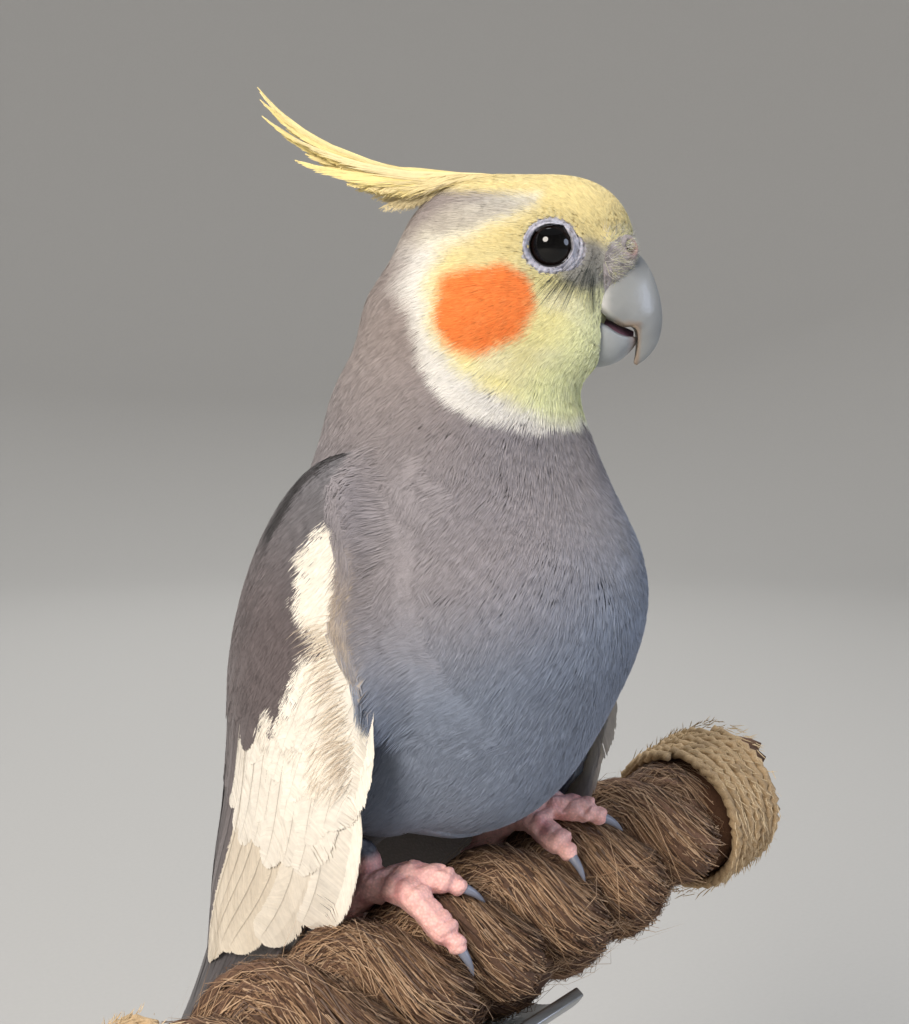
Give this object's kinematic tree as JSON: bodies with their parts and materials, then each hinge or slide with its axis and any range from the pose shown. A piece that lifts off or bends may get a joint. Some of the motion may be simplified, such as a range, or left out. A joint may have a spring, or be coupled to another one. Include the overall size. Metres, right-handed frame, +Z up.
{
  "type": "cockatiel museum model",
  "caption": "Life-size still model of a grey male cockatiel with raised crest, looking to its left, gripping a short plaited rope perch on a plain rod and round base.",
  "frame": {"origin": "Middle of the underside of the display stand's round base.", "axes": "+Z up. The bird's body faces -Y and its tail hangs towards +Y. +X is the bird's left, and the rope runs along X, rising to +X."},
  "size_m": [0.1496, 0.183, 0.2932],
  "materials": {
    "face_feathers": "soft matt feathers",
    "body_feathers": "soft matt feathers",
    "wing_feathers": "smooth matt feathers",
    "flight_feathers": "smooth matt feathers",
    "eyes": "wet gloss",
    "bare_skin": "fine-scaled matt skin",
    "horn": "smooth satin horn",
    "rope": "coarse fibre",
    "twine": "coarse fibre",
    "base": "satin",
    "rod": "satin"
  },
  "bodies": {
    "root": {"head": "face_feathers", "crest": "face_feathers", "neck": "body_feathers", "trunk": "body_feathers", "wing_right": "wing_feathers", "wing_left": "wing_feathers", "primaries_right": "flight_feathers", "primaries_left": "flight_feathers", "tail_middle": "flight_feathers", "tail_right": "flight_feathers", "tail_left": "flight_feathers", "eye_right": "eyes", "eye_left": "eyes", "cere": "bare_skin", "tongue": "bare_skin", "leg_right": "bare_skin", "leg_left": "bare_skin", "foot_right": "bare_skin", "foot_left": "bare_skin", "bill_upper": "horn", "bill_lower": "horn", "claw_right_1": "horn", "claw_right_2": "horn", "claw_right_3": "horn", "claw_right_4": "horn", "claw_left_1": "horn", "claw_left_2": "horn", "claw_left_3": "horn", "claw_left_4": "horn", "perch_rope": "rope", "perch_whipping_right": "twine", "perch_whipping_left": "twine", "stand_base": "base", "stand_rod": "rod", "stand_collar": "rod", "stand_saddle": "rod"}
  },
  "joints": []
}
